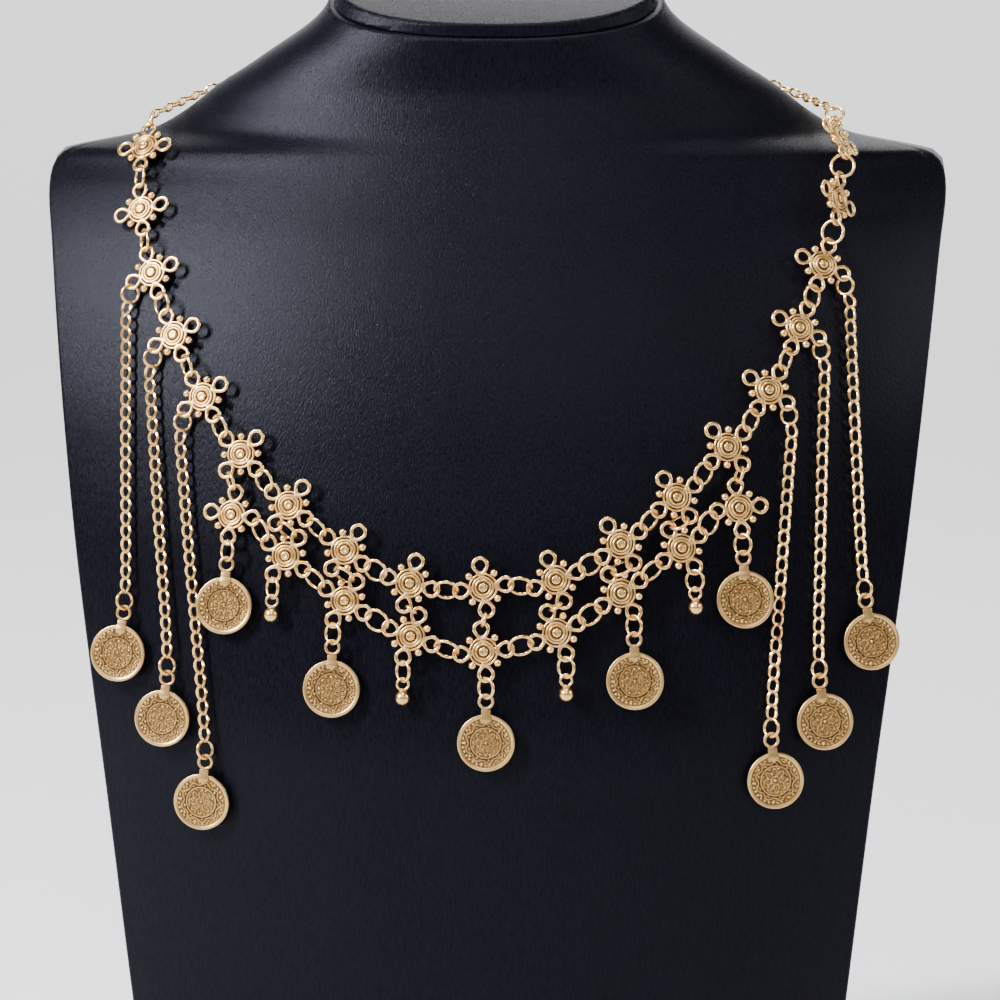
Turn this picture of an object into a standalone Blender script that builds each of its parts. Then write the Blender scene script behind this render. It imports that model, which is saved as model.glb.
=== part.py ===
"""A coin waist chain laid over a display bust: rosettes, rings, strands, balls and coins."""

import math
from collections import namedtuple

import bmesh
import bpy
from mathutils import Matrix, Vector

# Driving dimensions, in metres and degrees

# The bust is a loft of level sections: a bowed front and a boxed or round back
Section = namedtuple("Section", "height half_width front side back bow corner")
BUST_SECTIONS = [
    Section(0.0000, 0.0950, -0.0520, -0.0240, 0.050, 1.00, 8.0),
    Section(0.0700, 0.1030, -0.0550, -0.0270, 0.050, 1.00, 8.0),
    Section(0.1300, 0.1100, -0.0550, -0.0260, 0.050, 1.00, 8.0),
    Section(0.1830, 0.1170, -0.0500, -0.0200, 0.050, 1.00, 8.0),
    Section(0.2200, 0.1215, -0.0410, -0.0110, 0.050, 1.00, 8.0),
    Section(0.2500, 0.1250, -0.0310, 0.0000, 0.050, 1.00, 8.0),
    Section(0.2750, 0.1280, -0.0200, 0.0130, 0.051, 1.00, 8.0),
    Section(0.2900, 0.1300, -0.0125, 0.0240, 0.052, 1.00, 7.0),
    Section(0.2980, 0.1290, -0.0090, 0.0300, 0.052, 1.00, 6.0),
    Section(0.3050, 0.1010, -0.0060, 0.0300, 0.053, 1.25, 4.0),
    Section(0.3110, 0.0900, -0.0040, 0.0300, 0.054, 1.45, 3.5),
    Section(0.3180, 0.0810, -0.0020, 0.0300, 0.054, 1.60, 3.0),
    Section(0.3260, 0.0687, -0.0010, 0.0290, 0.055, 1.80, 2.4),
    Section(0.3415, 0.0490, 0.0000, 0.0280, 0.056, 2.00, 2.0),
    Section(0.3520, 0.0455, 0.0000, 0.0280, 0.056, 2.00, 2.0),
    Section(0.3620, 0.0450, -0.0005, 0.0280, 0.056, 2.00, 2.0),
]
BUST_LEVELS = [0.000, 0.050, 0.090, 0.120, 0.140, 0.160, 0.180, 0.195, 0.210, 0.225, 0.240, 0.255,
               0.270, 0.283, 0.292, 0.298, 0.302, 0.305, 0.311, 0.318, 0.326, 0.3415, 0.352, 0.362]
FRONT_BOW = 2.2             # power of the front's curve across the width
FRONT_STEPS = 16
BACK_STEPS = 10

# The neck is cut on a slant and closed with a flat cap above a narrow groove
NECK_FRONT_HEIGHT = 0.3325
NECK_SLOPE = 0.41           # rise of the cut for each metre towards the back
CAP_THICKNESS = 0.0034
CAP_INSET = 0.0008
GROOVE = 0.0003

# Rosette: a turned disc with a button, a groove and a rim, and four loops around it
DISC_PROFILE = [(0.0, 0.0015), (0.0015, 0.0004), (0.0027, 0.0010), (0.00415, 0.0002),
                (0.0039, -0.0012), (0.0, -0.0012)]
DISC_SIDES = 8
LOOP_REACH = 0.0062         # from the rosette's centre to a loop's centre
LOOP_RADIUS = 0.00195       # to the middle of the wire, where a loop's side is flat
LOOP_WIRE = 0.0009
BALL_LOOP_RADIUS = 0.0016
RING_WIRE = 0.00085
DROP_RING_RADIUS = 0.0025
LOOP_SIDES = 6
RING_SIDES = 8
WIRE_SIDES = 3

# How far a ring's wire sits from the centre of a loop that it passes through
HELD = LOOP_RADIUS - 0.0002     # where the ring is soldered to its own loop
CLEAR = 0.00086                 # between two wires' middles where a ring hangs free
FREE = LOOP_RADIUS - CLEAR
FREE_SMALL = BALL_LOOP_RADIUS - CLEAR

UPPER_LINK = 0.0082         # between the centres of two loops that one ring joins
LOWER_LINK = 0.0086
SHORT_TIE = 0.0070          # below this, a ring between the rows stands on its edge
SHORT_TIE_TILT = 80
TIE_TILT = 62
SIDE_RING_TILT = -60        # the rings of the rosettes that lie on their sides lean the other way
ROSETTE_LIFT = 0.0032
RING_TILT = 52
SIDE_ROLL = 36              # the last two rosettes on the right lie over on their sides
SIDE_LIFT = 0.0062

# The rows hang along two routes on the bust's front, left to right, with the middle row at the centre
Waypoint = namedtuple("Waypoint", "across height")
UPPER_ROUTE = [
    Waypoint(-0.0975, 0.3120), Waypoint(-0.0990, 0.3010), Waypoint(-0.0994, 0.2860),
    Waypoint(-0.0960, 0.2690), Waypoint(-0.0890, 0.2517), Waypoint(-0.0805, 0.2352),
    Waypoint(-0.0687, 0.2190), Waypoint(-0.0540, 0.2045), Waypoint(-0.0375, 0.1925),
    Waypoint(-0.0195, 0.1843), Waypoint(0.0000, 0.1835), Waypoint(0.0190, 0.1853),
    Waypoint(0.0367, 0.1945), Waypoint(0.0524, 0.2070), Waypoint(0.0665, 0.2205),
    Waypoint(0.0787, 0.2371), Waypoint(0.0871, 0.2542), Waypoint(0.0934, 0.2710),
    Waypoint(0.0962, 0.2865), Waypoint(0.0968, 0.3010), Waypoint(0.0950, 0.3120),
]
LOWER_ROUTE = [
    Waypoint(-0.0850, 0.2115), Waypoint(-0.0710, 0.2020), Waypoint(-0.0545, 0.1908),
    Waypoint(-0.0375, 0.1790), Waypoint(-0.0192, 0.1698), Waypoint(0.0002, 0.1660),
    Waypoint(0.0192, 0.1708), Waypoint(0.0368, 0.1814), Waypoint(0.0530, 0.1930),
    Waypoint(0.0685, 0.2032), Waypoint(0.0820, 0.2122),
]
UPPER_COUNT = 19
LOWER_COUNT = 9
FIRST_TIED = 5              # the upper rosette that carries the first lower one
FIRST_ROLLED = 17
# How far a rosette is turned from its row's direction, against the clock
UPPER_TURNS = {5: 5, 6: 4, 7: -4, 9: 7, 10: 2, 12: -7, 13: -7}
LOWER_TURNS = {0: 27, 4: 5, 8: -27}

# Drops under the lower row, with how far each can swing to the left and to the right
Drop = namedtuple("Drop", "kind left right")
DROPS = [
    Drop("coin", 2, 6), Drop("ball", 8, 10), Drop("coin", 12, 12), Drop("ball", 12, 12),
    Drop("coin", 12, 12), Drop("ball", 12, 12), Drop("coin", 12, 12), Drop("ball", 10, 8),
    Drop("coin", 6, 6),
]

# Long strands: the rosette that carries each, and where its lower ring lies
Strand = namedtuple("Strand", "name carrier across height left right")
STRANDS = [
    Strand("left_1", 2, -0.1007, 0.1759, 12, 5), Strand("left_2", 3, -0.0883, 0.1587, 10, 2),
    Strand("left_3", 4, -0.0774, 0.1361, 12, 12), Strand("right_3", 14, 0.0788, 0.1434, 12, 8),
    Strand("right_2", 15, 0.0918, 0.1590, 4, 10), Strand("right_1", 16, 0.1041, 0.1804, 6, 12),
]
CURB_PITCH = 0.0034
CURB_WIDE = 0.0036
CURB_NARROW = 0.0026
CURB_THICK = 0.0013
CURB_LIFT = 0.0018
END_RING_LIFT = 0.0028

# Coin and ball, below the point that they swing about
COIN_PROFILE = [(0.0, 0.0004), (0.0070, 0.0004), (0.0080, 0.0007), (0.0080, -0.0007), (0.0, -0.0007)]
COIN_SIDES = 14
COIN_BELOW_LOOP = 0.0114
COIN_LIFT = 0.0021
COIN_TURN = 1.2             # how strongly a coin turns from the bust's surface to face the front
TAB_SIZE = (0.0026, 0.0026, 0.0010)
BALL_RADIUS = 0.0021
BALL_BELOW_LOOP = 0.0039

# The plain chain behind the neck, and its ring clasp
BACK_PITCH = 0.0050
BACK_WIDE = 0.0028
BACK_NARROW = 0.0018
BACK_THICK = 0.0012
BACK_LIFT = 0.0022
BACK_ROUTE = [Waypoint(12, 0.3135), Waypoint(30, 0.3190), Waypoint(48, 0.3240), Waypoint(68, 0.3275),
              Waypoint(80, 0.3290)]
BACK_RING_RADIUS = 0.0022
CLASP_RADIUS = 0.0036
CLASP_WIRE = 0.0014
CLASP_HEIGHT = 0.3295
CLASP_LIFT = 0.0034

GOLD = ("antique_gold", (0.60, 0.42, 0.20, 1.0), 1.0, 0.36)
LEATHERETTE = ("black_leatherette", (0.010, 0.010, 0.016, 1.0), 0.0, 0.42)

TINY = 0.0004               # a step along a route or a surface, for its slope


# Materials and collections

def make_material(name, colour, metallic, roughness):
    material = bpy.data.materials.new(name)
    material.use_nodes = True
    shader = material.node_tree.nodes["Principled BSDF"]
    shader.inputs["Base Color"].default_value = colour
    shader.inputs["Metallic"].default_value = metallic
    shader.inputs["Roughness"].default_value = roughness
    return material


def start_scene():
    for item in list(bpy.data.objects):
        bpy.data.objects.remove(item)
    collection = bpy.data.collections.new("coin_waist_chain")
    bpy.context.scene.collection.children.link(collection)
    return collection


def add_object(collection, name, mesh, matrix=None):
    item = bpy.data.objects.new(name, mesh)
    collection.objects.link(item)
    if matrix is not None:
        item.matrix_world = matrix
    return item


def take_primitive(collection, name):
    """Move the primitive that was just added into the object's own collection."""
    item = bpy.context.object
    item.name = name
    for holder in list(item.users_collection):
        holder.objects.unlink(item)
    collection.objects.link(item)
    return item


# The bust's surface

def section_value(column, height):
    """A section's measure at any height, on a smooth curve that never overshoots its rows."""
    heights = [row.height for row in BUST_SECTIONS]
    values = [getattr(row, column) for row in BUST_SECTIONS]
    height = min(max(height, heights[0]), heights[-1])
    index = 0
    while index < len(heights) - 2 and height > heights[index + 1]:
        index += 1
    slopes = [(values[i + 1] - values[i]) / (heights[i + 1] - heights[i]) for i in range(len(heights) - 1)]

    def tangent(i):
        if i == 0:
            return slopes[0]
        if i == len(slopes):
            return slopes[-1]
        product = slopes[i - 1] * slopes[i]
        return 2 * product / (slopes[i - 1] + slopes[i]) if product > 0 else 0.0

    step = heights[index + 1] - heights[index]
    t = (height - heights[index]) / step
    return ((2 * t**3 - 3 * t**2 + 1) * values[index] + (t**3 - 2 * t**2 + t) * step * tangent(index)
            + (-2 * t**3 + 3 * t**2) * values[index + 1] + (t**3 - t**2) * step * tangent(index + 1))


def front_point(across, height):
    side = section_value("side", height)
    reach = min(abs(across) / section_value("half_width", height), 1.0)
    depth = (side - section_value("front", height)) * (1 - reach**FRONT_BOW) ** (1 / section_value("bow", height))
    return Vector((across, side - depth, height))


def back_point(angle, height):
    """A point on the sides and back, from 0 degrees at the right side to 180 at the left."""
    power = 2 / section_value("corner", height)
    side = section_value("side", height)
    cosine = math.cos(math.radians(angle))
    sine = max(math.sin(math.radians(angle)), 0.0)
    across = math.copysign(abs(cosine) ** power, cosine) * section_value("half_width", height)
    return Vector((across, side + (section_value("back", height) - side) * sine**power, height))


def front_seat(across, height, lift):
    """A point above the bust's front, and the direction that the surface faces there."""
    along = front_point(across + TINY, height) - front_point(across - TINY, height)
    up = front_point(across, height + TINY) - front_point(across, height - TINY)
    normal = along.cross(up).normalized()
    return front_point(across, height) + normal * lift, normal


def back_seat(angle, height, lift):
    along = back_point(angle + 1, height) - back_point(angle - 1, height)
    up = back_point(angle, height + TINY) - back_point(angle, height - TINY)
    normal = along.cross(up).normalized()
    return back_point(angle, height) + normal * lift, normal


def section_ring(height):
    front = [front_point(math.sin(math.pi * (step / FRONT_STEPS - 0.5)) * section_value("half_width", height), height)
             for step in range(FRONT_STEPS)]
    back = [back_point(180 * step / BACK_STEPS, height) for step in range(BACK_STEPS)]
    return front + back


def cut_level(mesh, height, keep_above):
    """Cut a solid on the slanted plane of the neck and close it again."""
    side = -1 if keep_above else 1
    normal = Vector((0, -NECK_SLOPE, 1)).normalized() * side
    geometry = mesh.verts[:] + mesh.edges[:] + mesh.faces[:]
    bmesh.ops.bisect_plane(mesh, geom=geometry, plane_co=(0, 0, height), plane_no=normal, clear_outer=True)
    rim = [edge for edge in mesh.edges if edge.is_boundary]
    bmesh.ops.contextual_create(mesh, geom=rim)


def loft_bust():
    mesh = bmesh.new()
    rings = [[mesh.verts.new(point) for point in section_ring(level)] for level in BUST_LEVELS]
    count = FRONT_STEPS + BACK_STEPS
    for lower, upper in zip(rings, rings[1:]):
        for step in range(count):
            after = (step + 1) % count
            mesh.faces.new((lower[step], lower[after], upper[after], upper[step]))
    mesh.faces.new(list(reversed(rings[0])))
    mesh.faces.new(rings[-1])
    return mesh


def finish_mesh(mesh, name):
    bmesh.ops.recalc_face_normals(mesh, faces=mesh.faces[:])
    data = bpy.data.meshes.new(name)
    mesh.to_mesh(data)
    mesh.free()
    return data


def make_bust(collection, material):
    body = loft_bust()
    cut_level(body, NECK_FRONT_HEIGHT, keep_above=False)
    bust = add_object(collection, "display_bust", finish_mesh(body, "display_bust"))

    slant = math.hypot(1, NECK_SLOPE)
    cap = loft_bust()
    cut_level(cap, NECK_FRONT_HEIGHT + GROOVE * slant, keep_above=True)
    cut_level(cap, NECK_FRONT_HEIGHT + (GROOVE + CAP_THICKNESS) * slant, keep_above=False)
    middle = Vector((0, section_value("side", NECK_FRONT_HEIGHT), 0))
    shrink = 1 - CAP_INSET / section_value("half_width", BUST_LEVELS[-2])
    for vertex in cap.verts:
        offset = vertex.co - middle
        vertex.co.x = middle.x + offset.x * shrink
        vertex.co.y = middle.y + offset.y * shrink
        vertex.co.z -= NECK_SLOPE * offset.y * (1 - shrink)
    neck_cap = add_object(collection, "neck_cap", finish_mesh(cap, "neck_cap"))
    for item in (bust, neck_cap):
        item.data.materials.append(material)


# Rings, turned pieces and unions

def ring_frame(centre, toward, normal, tilt):
    """A ring's placement: its X axis runs from one loop to the next, and it is tilted about that line."""
    x_axis = toward.normalized()
    flat = flattened(normal, x_axis)
    z_axis = Matrix.Rotation(math.radians(tilt), 3, x_axis) @ flat
    y_axis = z_axis.cross(x_axis)
    frame = Matrix((x_axis, y_axis, z_axis)).transposed().to_4x4()
    frame.translation = centre
    return frame


def add_ring(collection, frame, radius, wire, sides=RING_SIDES, wire_sides=WIRE_SIDES):
    """A wire ring with a flat side across its X axis, where it meets the next loop."""
    half_side = math.pi / sides
    bpy.ops.mesh.primitive_torus_add(major_segments=sides, minor_segments=wire_sides,
                                     major_radius=radius / math.cos(half_side), minor_radius=wire / 2)
    ring = take_primitive(collection, "ring")
    ring.matrix_world = frame @ Matrix.Rotation(half_side, 4, "Z")
    return ring


def add_turned(collection, name, profile, sides):
    mesh = bpy.data.meshes.new(name)
    edges = [(i, i + 1) for i in range(len(profile) - 1)]
    mesh.from_pydata([(radius, 0, height) for radius, height in profile], edges, [])
    item = add_object(collection, name, mesh)
    screw = item.modifiers.new("turn", "SCREW")
    screw.steps = sides
    screw.render_steps = sides
    screw.use_merge_vertices = True
    screw.merge_threshold = 0.00001
    return item


def fuse(body, tools):
    """Unite a solid with others, which are then removed."""
    for tool in tools:
        union = body.modifiers.new("fuse", "BOOLEAN")
        union.operation = "UNION"
        union.solver = "EXACT"
        union.object = tool
    bpy.context.view_layer.update()
    graph = bpy.context.evaluated_depsgraph_get()
    mesh = bpy.data.meshes.new_from_object(body.evaluated_get(graph))
    body.modifiers.clear()
    body.data = mesh
    for tool in tools:
        bpy.data.objects.remove(tool)
    return body


def flattened(line, normal):
    return (line - normal * line.dot(normal)).normalized()


def link_ring(collection, own, other, tilt):
    """The ring that is soldered to one loop and hangs free in the other; it fits their distance."""
    (own_centre, own_normal), (other_centre, other_normal) = own, other
    line = other_centre - own_centre
    start = own_centre + flattened(line, own_normal) * HELD
    end = other_centre - flattened(line, other_normal) * FREE
    frame = ring_frame((start + end) / 2, end - start, own_normal + other_normal, tilt)
    return add_ring(collection, frame, (end - start).length / 2, RING_WIRE)


# Rosettes

def rosette_mesh(collection):
    disc = add_turned(collection, "rosette", DISC_PROFILE, DISC_SIDES)
    loops = []
    for quarter in range(4):
        turn = Matrix.Rotation(math.radians(90 * quarter), 4, "Z")
        frame = turn @ Matrix.Translation((LOOP_REACH, 0, 0))
        loops.append(add_ring(collection, frame, LOOP_RADIUS, LOOP_WIRE, LOOP_SIDES))
    mesh = fuse(disc, loops).data
    bpy.data.objects.remove(disc)
    return mesh


def route_point(route, position):
    """A smooth curve through the waypoints."""
    index = min(max(int(position), 1), len(route) - 3)
    t = position - index
    before, first, second, after = route[index - 1:index + 3]
    return [0.5 * (2 * b + (c - a) * t + (2 * a - 5 * b + 4 * c - d) * t**2 + (3 * b - a - 3 * c + d) * t**3)
            for a, b, c, d in zip(before, first, second, after)]


def station(route, position, lift, turn=0, roll=0):
    """A rosette's placement on a route: X along the row, Y inwards and Z out of the bust."""
    place, normal = front_seat(*route_point(route, position), lift)
    before = front_seat(*route_point(route, position - 0.1), lift)[0]
    after = front_seat(*route_point(route, position + 0.1), lift)[0]
    along = after - before
    x_axis = (along - normal * along.dot(normal)).normalized()
    x_axis = Matrix.Rotation(math.radians(turn), 3, normal) @ x_axis
    z_axis = Matrix.Rotation(math.radians(roll), 3, x_axis) @ normal
    frame = Matrix((x_axis, z_axis.cross(x_axis), z_axis)).transposed().to_4x4()
    frame.translation = place
    return frame


def loop_centre(frame, x, y):
    return frame @ Vector((x * LOOP_REACH, y * LOOP_REACH, 0))


def loop_place(frame, x, y):
    """A loop's centre and the direction that it faces."""
    return loop_centre(frame, x, y), frame.col[2].to_3d()


def walk(route, count, link, settings):
    """Rosettes from the middle of a route outwards, each one link away from the last."""
    middle = count // 2
    start = (len(route) - 1) / 2
    frames = {middle: station(route, start, **settings(middle))}
    for way in (-1, 1):
        position = start
        for index in range(middle + way, middle + way * (middle + 1), way):
            held = loop_centre(frames[index - way], way, 0)
            near, far = position, position + 2 * way
            for _ in range(40):
                position = (near + far) / 2
                frame = station(route, position, **settings(index))
                if (loop_centre(frame, -way, 0) - held).length < link:
                    near = position
                else:
                    far = position
            frames[index] = frame
    return [frames[index] for index in range(count)]


def upper_settings(index):
    if index >= FIRST_ROLLED:
        return {"lift": SIDE_LIFT, "roll": SIDE_ROLL}
    return {"lift": ROSETTE_LIFT, "turn": UPPER_TURNS.get(index, 0)}


def lower_settings(index):
    return {"lift": ROSETTE_LIFT, "turn": LOWER_TURNS.get(index, 0)}


def drop_line(own, length, lift):
    """From a loop down along the bust to where a drop's middle rests, and the direction faced there."""
    target, normal = front_seat(own.x, own.z - length, lift)
    line = (target - own).normalized()
    return line, flattened(normal, line)


def turned_out(faced, line):
    return flattened(faced + Vector((0, -COIN_TURN, 0)), line)


def coin_seat(own, length):
    """A coin's line, and the direction that it faces, with the coin's edge clear of the bust."""
    line, faced = drop_line(own, length, COIN_LIFT)
    edge = COIN_PROFILE[2][0] * math.sin(faced.angle(turned_out(faced, line)))
    line, faced = drop_line(own, length, COIN_LIFT + edge)
    return line, turned_out(faced, line)


def make_rosettes(collection, material):
    base = rosette_mesh(collection)
    upper = walk(UPPER_ROUTE, UPPER_COUNT, UPPER_LINK, upper_settings)
    lower = walk(LOWER_ROUTE, LOWER_COUNT, LOWER_LINK, lower_settings)
    drops = []
    for row, frames in (("upper", upper), ("lower", lower)):
        for index, frame in enumerate(frames):
            rings = []
            if index + 1 < len(frames):
                beside_rolled = row == "upper" and index >= FIRST_ROLLED - 1
                tilt = SIDE_RING_TILT if beside_rolled else RING_TILT
                after = frames[index + 1]
                rings.append(link_ring(collection, loop_place(frame, 1, 0), loop_place(after, -1, 0), tilt))
            tied = index - FIRST_TIED
            if row == "upper" and 0 <= tied < LOWER_COUNT:
                own, other = loop_place(frame, 0, -1), loop_place(lower[tied], 0, 1)
                short = (other[0] - own[0]).length < SHORT_TIE
                rings.append(link_ring(collection, own, other, SHORT_TIE_TILT if short else TIE_TILT))
            if row == "lower":
                own = loop_centre(frame, 0, -1)
                length = 2 * DROP_RING_RADIUS + HELD + FREE + COIN_BELOW_LOOP
                line, faced = coin_seat(own, length)
                centre = own + line * (HELD + DROP_RING_RADIUS)
                rings.append(add_ring(collection, ring_frame(centre, line, faced, RING_TILT),
                                      DROP_RING_RADIUS, RING_WIRE))
                drops.append((centre + line * DROP_RING_RADIUS, line, faced))
            name = f"rosette_{row}_{index:02d}"
            rosette = fuse(add_object(collection, name, base, frame), rings)
            rosette.data.materials.append(material)
    bpy.data.meshes.remove(base)
    return upper, drops


# Coins and balls, each with its origin on the wire that it swings about and Z along the swing's axis

def drop_frame(pivot, line, faced):
    y_axis = -line
    frame = Matrix((y_axis.cross(faced), y_axis, faced)).transposed().to_4x4()
    frame.translation = pivot
    return frame


def coin_mesh(collection):
    coin = add_turned(collection, "coin", COIN_PROFILE, COIN_SIDES)
    loop_height = -FREE
    coin.location.y = loop_height - COIN_BELOW_LOOP
    loop_turn = Matrix.Rotation(math.radians(90), 4, "Z")
    loop = add_ring(collection, Matrix.Translation((0, loop_height, 0)) @ loop_turn,
                    LOOP_RADIUS, LOOP_WIRE, LOOP_SIDES)
    bpy.ops.mesh.primitive_cube_add(size=1)
    tab = take_primitive(collection, "tab")
    tab.location.y = loop_height - LOOP_RADIUS - TAB_SIZE[1] / 2
    tab.scale = TAB_SIZE
    return local_mesh(fuse(coin, [loop, tab]))


def ball_mesh(collection):
    bpy.ops.mesh.primitive_uv_sphere_add(segments=8, ring_count=6, radius=BALL_RADIUS)
    ball = take_primitive(collection, "ball")
    ball.location.y = -FREE_SMALL - BALL_BELOW_LOOP
    loop_turn = Matrix.Rotation(math.radians(90), 4, "Z")
    loop = add_ring(collection, Matrix.Translation((0, -FREE_SMALL, 0)) @ loop_turn,
                    BALL_LOOP_RADIUS, LOOP_WIRE, LOOP_SIDES)
    return local_mesh(fuse(ball, [loop]))


def local_mesh(item):
    mesh = item.data
    mesh.transform(item.matrix_world)
    bpy.data.objects.remove(item)
    return mesh


def make_drops(collection, material, drops, meshes):
    counts = {"coin": 0, "ball": 0}
    names = {"coin": "coin_short", "ball": "ball_drop"}
    for drop, place in zip(DROPS, drops):
        name = f"{names[drop.kind]}_{counts[drop.kind]}"
        counts[drop.kind] += 1
        item = add_object(collection, name, meshes[drop.kind].copy(), drop_frame(*place))
        item.data.materials.append(material)


# Strands: a scalloped band for the links, between a ring at the top and one at the end

def band_mesh(name, places, wide, narrow, thick):
    """A flat band through the places, whose width alternates at each link."""
    mesh = bmesh.new()
    rows = []
    for index, (point, normal) in enumerate(places):
        before = places[max(index - 1, 0)][0]
        after = places[min(index + 1, len(places) - 1)][0]
        across = (after - before).cross(normal).normalized() * (wide if index % 2 else narrow) / 2
        out = normal * thick / 2
        rows.append([mesh.verts.new(point + corner) for corner in (across + out, out - across, -across - out,
                                                                    across - out)])
    for first, second in zip(rows, rows[1:]):
        for side in range(4):
            after = (side + 1) % 4
            mesh.faces.new((first[side], first[after], second[after], second[side]))
    mesh.faces.new(list(reversed(rows[0])))
    mesh.faces.new(rows[-1])
    return finish_mesh(mesh, name)


def make_strand(collection, material, strand, carrier, coin):
    loop = loop_centre(carrier, 0, -1)
    line, faced = drop_line(loop, 2 * DROP_RING_RADIUS + FREE, END_RING_LIFT)
    top_centre = loop + line * (FREE + DROP_RING_RADIUS)
    top = top_centre + line * DROP_RING_RADIUS
    bottom_height = strand.height + DROP_RING_RADIUS
    count = round((top.z - bottom_height) / CURB_PITCH)
    places = [(top, faced)]
    for step in range(1, count + 1):
        t = step / count
        lift = CURB_LIFT + (END_RING_LIFT - CURB_LIFT) * abs(2 * t - 1) ** 6
        across = top.x + (strand.across - top.x) * t
        places.append(front_seat(across, top.z + (bottom_height - top.z) * t, lift))
    bottom, faced = places[-1]
    end_line = (bottom - places[-2][0]).normalized()
    end_centre = bottom + end_line * DROP_RING_RADIUS
    pivot = end_centre + end_line * DROP_RING_RADIUS
    place = coin_seat(pivot, FREE + COIN_BELOW_LOOP)
    tilt = math.copysign(RING_TILT, strand.across)
    name = f"strand_{strand.name}"
    band = add_object(collection, name, band_mesh(name, places, CURB_WIDE, CURB_NARROW, CURB_THICK))
    fuse(band, [
        add_ring(collection, ring_frame(top_centre, line, faced, tilt), DROP_RING_RADIUS, RING_WIRE),
        add_ring(collection, ring_frame(end_centre, end_line, place[1], tilt), DROP_RING_RADIUS, RING_WIRE),
    ])
    item = add_object(collection, f"coin_{strand.name}", coin.copy(), drop_frame(pivot, *place))
    for piece in (band, item):
        piece.data.materials.append(material)


# The chain behind the neck

def make_back_chain(collection, material, name, frame, side):
    """One half of the plain chain, from the row's last loop round to the clasp."""
    loop = loop_centre(frame, side, 0)
    line = frame.col[0].to_3d() * side
    top_tilt = -RING_TILT if side > 0 else RING_TILT
    reach = BACK_RING_RADIUS + CLASP_RADIUS - (LOOP_RADIUS - FREE) - CLASP_WIRE / 4
    clasp = back_seat(90, CLASP_HEIGHT, CLASP_LIFT)[0]
    end_centre = clasp + Vector((side * reach, 0, 0))
    end = end_centre + Vector((side * BACK_RING_RADIUS, 0, 0))
    route = []
    for angle, height in BACK_ROUTE:
        route.append(back_seat(angle if side > 0 else 180 - angle, height, BACK_LIFT))
    top_centre = loop + line * (FREE + DROP_RING_RADIUS)
    start = top_centre + line * DROP_RING_RADIUS
    corners = [(start, route[0][1])] + route + [(end, Vector((0, 1, 0)))]
    places = []
    for (first, out), (second, after) in zip(corners, corners[1:]):
        steps = max(1, round((second - first).length / BACK_PITCH))
        for step in range(steps):
            t = step / steps
            places.append((first.lerp(second, t), out.lerp(after, t).normalized()))
    places.append(corners[-1])
    chain = add_object(collection, name, band_mesh(name, places, BACK_WIDE, BACK_NARROW, BACK_THICK))
    fuse(chain, [
        add_ring(collection, ring_frame(top_centre, line * side, frame.col[2].to_3d(), top_tilt),
                 DROP_RING_RADIUS, RING_WIRE),
        add_ring(collection, ring_frame(end_centre, Vector((side, 0, 0)), Vector((0, 1, 0)), RING_TILT),
                 BACK_RING_RADIUS, RING_WIRE),
    ])
    chain.data.materials.append(material)


def make_clasp(collection, material):
    centre, _ = back_seat(90, CLASP_HEIGHT, CLASP_LIFT)
    frame = ring_frame(centre, Vector((1, 0, 0)), Vector((0, 1, 0)), 0)
    clasp = add_ring(collection, frame, CLASP_RADIUS, CLASP_WIRE, 12, 4)
    clasp.name = "clasp"
    clasp.data.materials.append(material)


def main():
    collection = start_scene()
    gold = make_material(*GOLD)
    make_bust(collection, make_material(*LEATHERETTE))
    upper, drops = make_rosettes(collection, gold)
    meshes = {"coin": coin_mesh(collection), "ball": ball_mesh(collection)}
    make_drops(collection, gold, drops, meshes)
    for strand in STRANDS:
        make_strand(collection, gold, strand, upper[strand.carrier], meshes["coin"])
    for mesh in meshes.values():
        bpy.data.meshes.remove(mesh)
    for name, side, index in (("chain_back_left", -1, 0), ("chain_back_right", 1, UPPER_COUNT - 1)):
        make_back_chain(collection, gold, name, upper[index], side)
    make_clasp(collection, gold)


main()
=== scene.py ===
import math

import bpy
from mathutils import Matrix, Vector


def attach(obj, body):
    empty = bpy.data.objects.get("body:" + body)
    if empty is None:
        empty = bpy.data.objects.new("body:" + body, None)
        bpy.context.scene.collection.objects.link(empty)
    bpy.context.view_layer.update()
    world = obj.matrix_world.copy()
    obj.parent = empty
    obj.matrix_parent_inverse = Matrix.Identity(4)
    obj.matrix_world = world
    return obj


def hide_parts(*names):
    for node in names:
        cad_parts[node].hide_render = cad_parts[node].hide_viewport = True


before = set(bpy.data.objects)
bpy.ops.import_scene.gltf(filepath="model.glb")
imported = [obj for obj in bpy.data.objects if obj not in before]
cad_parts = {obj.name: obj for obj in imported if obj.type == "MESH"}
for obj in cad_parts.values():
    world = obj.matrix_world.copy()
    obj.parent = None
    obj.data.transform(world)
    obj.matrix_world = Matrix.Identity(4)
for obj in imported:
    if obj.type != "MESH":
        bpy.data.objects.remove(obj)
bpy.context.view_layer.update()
print("frame loaded")


# Everyday mesh work

def inEdit(action):
    bpy.ops.object.mode_set(mode="EDIT")
    action()
    bpy.ops.object.mode_set(mode="OBJECT")


def takeActive(name):  # the primitive that was just added
    item = bpy.context.object
    item.name = name
    item.data.name = name
    return item


def settle(item):  # its place goes into its mesh
    bpy.ops.object.select_all(action="DESELECT")
    item.select_set(True)
    bpy.context.view_layer.objects.active = item
    bpy.ops.object.transform_apply(location=True, rotation=True, scale=True)
    return item


def copyTo(item, place, name="copy"):
    mesh = item.data.copy()
    mesh.transform(place)
    made = bpy.data.objects.new(name, mesh)
    bpy.context.scene.collection.objects.link(made)
    return made


def discard(*items):
    for item in items:
        bpy.data.objects.remove(item)


def joinUp(items, name):
    bpy.ops.object.select_all(action="DESELECT")
    for item in items:
        item.select_set(True)
    bpy.context.view_layer.objects.active = items[0]
    if len(items) > 1:
        bpy.ops.object.join()
    return takeActive(name)


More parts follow.
